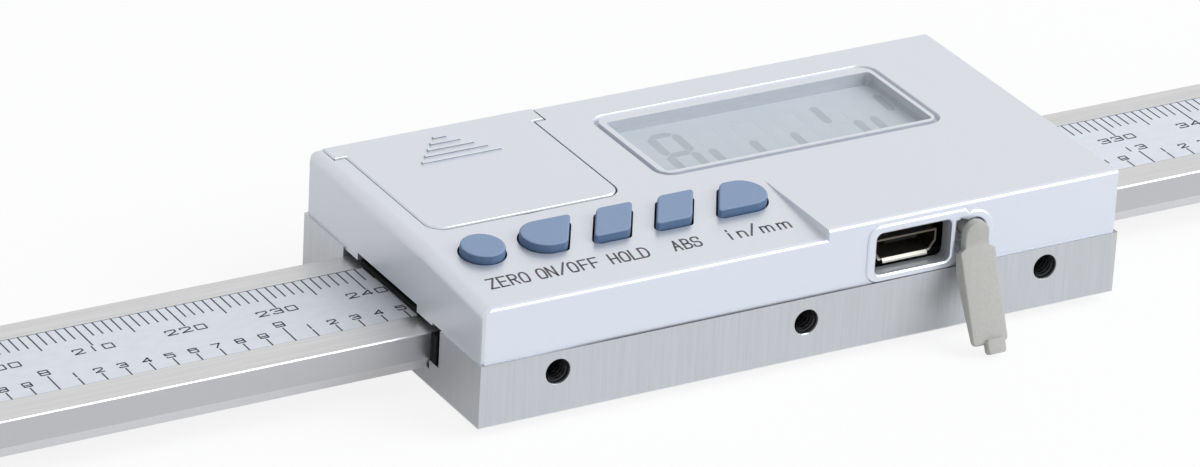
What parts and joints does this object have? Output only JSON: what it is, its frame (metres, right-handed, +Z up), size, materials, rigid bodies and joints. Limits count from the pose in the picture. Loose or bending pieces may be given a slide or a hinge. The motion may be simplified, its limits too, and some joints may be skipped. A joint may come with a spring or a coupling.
{
  "type": "digital linear scale",
  "caption": "Digital linear scale: a reading head with display, keys, battery door and data port slides along a graduated steel beam on end feet.",
  "frame": {"origin": "middle of the beam's length and width, on the plane its two feet stand on", "axes": "+X along the beam towards higher readings, +Y to the back of the head, +Z up, away from the mounting surface"},
  "size_m": [0.412, 0.049, 0.0157],
  "materials": {
    "beam_steel": "ground lengthwise",
    "base_steel": "brushed",
    "foot_steel": "brushed",
    "screw_steel": "satin",
    "spring_steel": "satin",
    "grid_board": "matt laminate",
    "scale_film": "satin print film",
    "black_plastic": "matt",
    "silver_housing": "silver lacquer",
    "clear_lens": "clear",
    "display_glass": "grey polariser",
    "connector_rubber": "soft",
    "circuit_board": "solder mask",
    "mat_rubber": "soft",
    "cell_steel": "polished",
    "contact_metal": "plated",
    "port_metal": "tinned",
    "flap_rubber": "matt",
    "key_rubber": "matt"
  },
  "bodies": {
    "beam": {"beam": "beam_steel", "scale_grid": "grid_board", "scale_film": "scale_film", "foot_left": "foot_steel", "foot_right": "foot_steel", "foot_screws": "screw_steel"},
    "head": {"base_frame": "base_steel", "case_screws": "screw_steel", "gib_screw": "screw_steel", "gib_spring": "spring_steel", "gib_strip": "black_plastic", "port_tongue": "black_plastic", "chip_cover": "black_plastic", "housing": "silver_housing", "lens": "clear_lens", "display_glass": "display_glass", "connector_strip_front": "connector_rubber", "connector_strip_back": "connector_rubber", "reader_board": "circuit_board", "main_board": "circuit_board", "board_header": "black_plastic", "key_mat": "mat_rubber", "coin_cell": "cell_steel", "contact_negative": "contact_metal", "contact_positive": "contact_metal", "port_shell": "port_metal"},
    "key_zero": {"key_zero": "key_rubber"},
    "key_power": {"key_power": "key_rubber"},
    "key_hold": {"key_hold": "key_rubber"},
    "key_abs": {"key_abs": "key_rubber"},
    "key_unit": {"key_unit": "key_rubber"},
    "battery_door": {"battery_door": "silver_housing"},
    "flap_neck": {"flap_neck": "flap_rubber"},
    "flap_lid": {"flap_lid": "flap_rubber"}
  },
  "joints": [
    {"name": "head_slide", "type": "slide", "parent": "beam", "child": "head", "axis": [1, 0, 0], "range_m": [-0.2415, 0.0645]},
    {"name": "key_zero_press", "type": "slide", "parent": "head", "child": "key_zero", "axis": [0, 0.0833, -0.9965], "range_m": [0, 0.0006], "stiffness_N_per_m": 1500},
    {"name": "key_power_press", "type": "slide", "parent": "head", "child": "key_power", "axis": [0, 0.0833, -0.9965], "range_m": [0, 0.0006], "stiffness_N_per_m": 1500},
    {"name": "key_hold_press", "type": "slide", "parent": "head", "child": "key_hold", "axis": [0, 0.0833, -0.9965], "range_m": [0, 0.0006], "stiffness_N_per_m": 1500},
    {"name": "key_abs_press", "type": "slide", "parent": "head", "child": "key_abs", "axis": [0, 0.0833, -0.9965], "range_m": [0, 0.0006], "stiffness_N_per_m": 1500},
    {"name": "key_unit_press", "type": "slide", "parent": "head", "child": "key_unit", "axis": [0, 0.0833, -0.9965], "range_m": [0, 0.0006], "stiffness_N_per_m": 1500},
    {"name": "battery_door_slide", "type": "slide", "parent": "head", "child": "battery_door", "axis": [0, 1, 0], "range_m": [0, 0.02]},
    {"name": "flap_swivel", "type": "hinge", "parent": "head", "child": "flap_neck", "pos_m": [0.1078, -0.02015, 0.0116], "axis": [0, 1, 0], "range_deg": [0, 90]},
    {"name": "flap_bend", "type": "hinge", "parent": "flap_neck", "child": "flap_lid", "pos_m": [0.1078, -0.02015, 0.0105], "axis": [1, 0, 0], "range_deg": [-35, 9], "stiffness_Nm_per_rad": 0.002}
  ]
}
